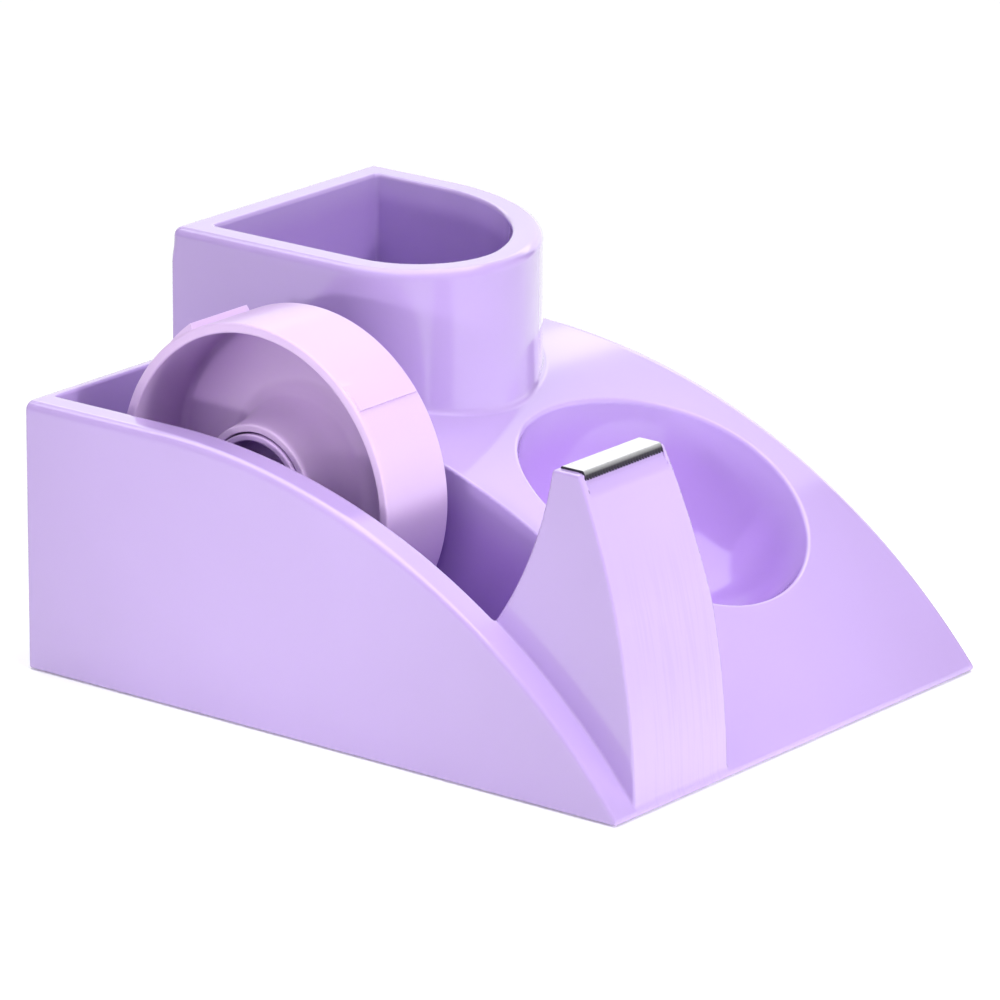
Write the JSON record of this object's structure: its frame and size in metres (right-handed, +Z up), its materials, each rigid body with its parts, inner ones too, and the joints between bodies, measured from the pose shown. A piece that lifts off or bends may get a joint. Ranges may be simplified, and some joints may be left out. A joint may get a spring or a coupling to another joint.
{
  "type": "tape dispenser desk organizer",
  "caption": "Sloped one-piece desk tape dispenser with a lift-out reel in a side well, a toothed cutter on a curved post, a D-shaped pen cup and a round clip dish.",
  "frame": {"origin": "centre of the body's footprint, on the surface that the feet stand on", "axes": "+Z up; +Y from the low front edge to the high back face; +X to the right seen from the front, from the tape well to the pen cup side"},
  "size_m": [0.13, 0.1626, 0.0905],
  "materials": {
    "lavender_shell": "glossy moulded ABS",
    "lavender_base": "fine matt moulded ABS",
    "ballast_metal": "rough grey iron",
    "screw_steel": "zinc-plated steel",
    "foot_rubber": "pale soft rubber",
    "blade_steel": "bright stamped steel",
    "reel_plastic": "glossy moulded ABS, a little pinker than the body",
    "spindle_plastic": "glossy moulded ABS",
    "axle_steel": "plain steel rod"
  },
  "bodies": {
    "housing": {"body_shell": "lavender_shell", "base_cover": "lavender_base", "ballast_plate_front": "ballast_metal", "ballast_plate_rear": "ballast_metal", "base_screws": "screw_steel", "ballast_screws": "screw_steel", "foot_front_left": "foot_rubber", "foot_front_right": "foot_rubber", "foot_rear_left": "foot_rubber", "foot_rear_right": "foot_rubber", "cutter_blade": "blade_steel"},
    "axle": {"axle_pin": "axle_steel"},
    "reel": {"large_core_wheel": "reel_plastic", "small_core_spindle": "spindle_plastic"}
  },
  "joints": [
    {"name": "reel_lift", "type": "slide", "parent": "housing", "child": "axle", "axis": [0, 0, 1], "range_m": [0, 0.12]},
    {"name": "reel_spin", "type": "hinge", "parent": "axle", "child": "reel", "pos_m": [-0.04145, 0.02775, 0.048], "axis": [1, 0, 0], "continuous": true}
  ]
}
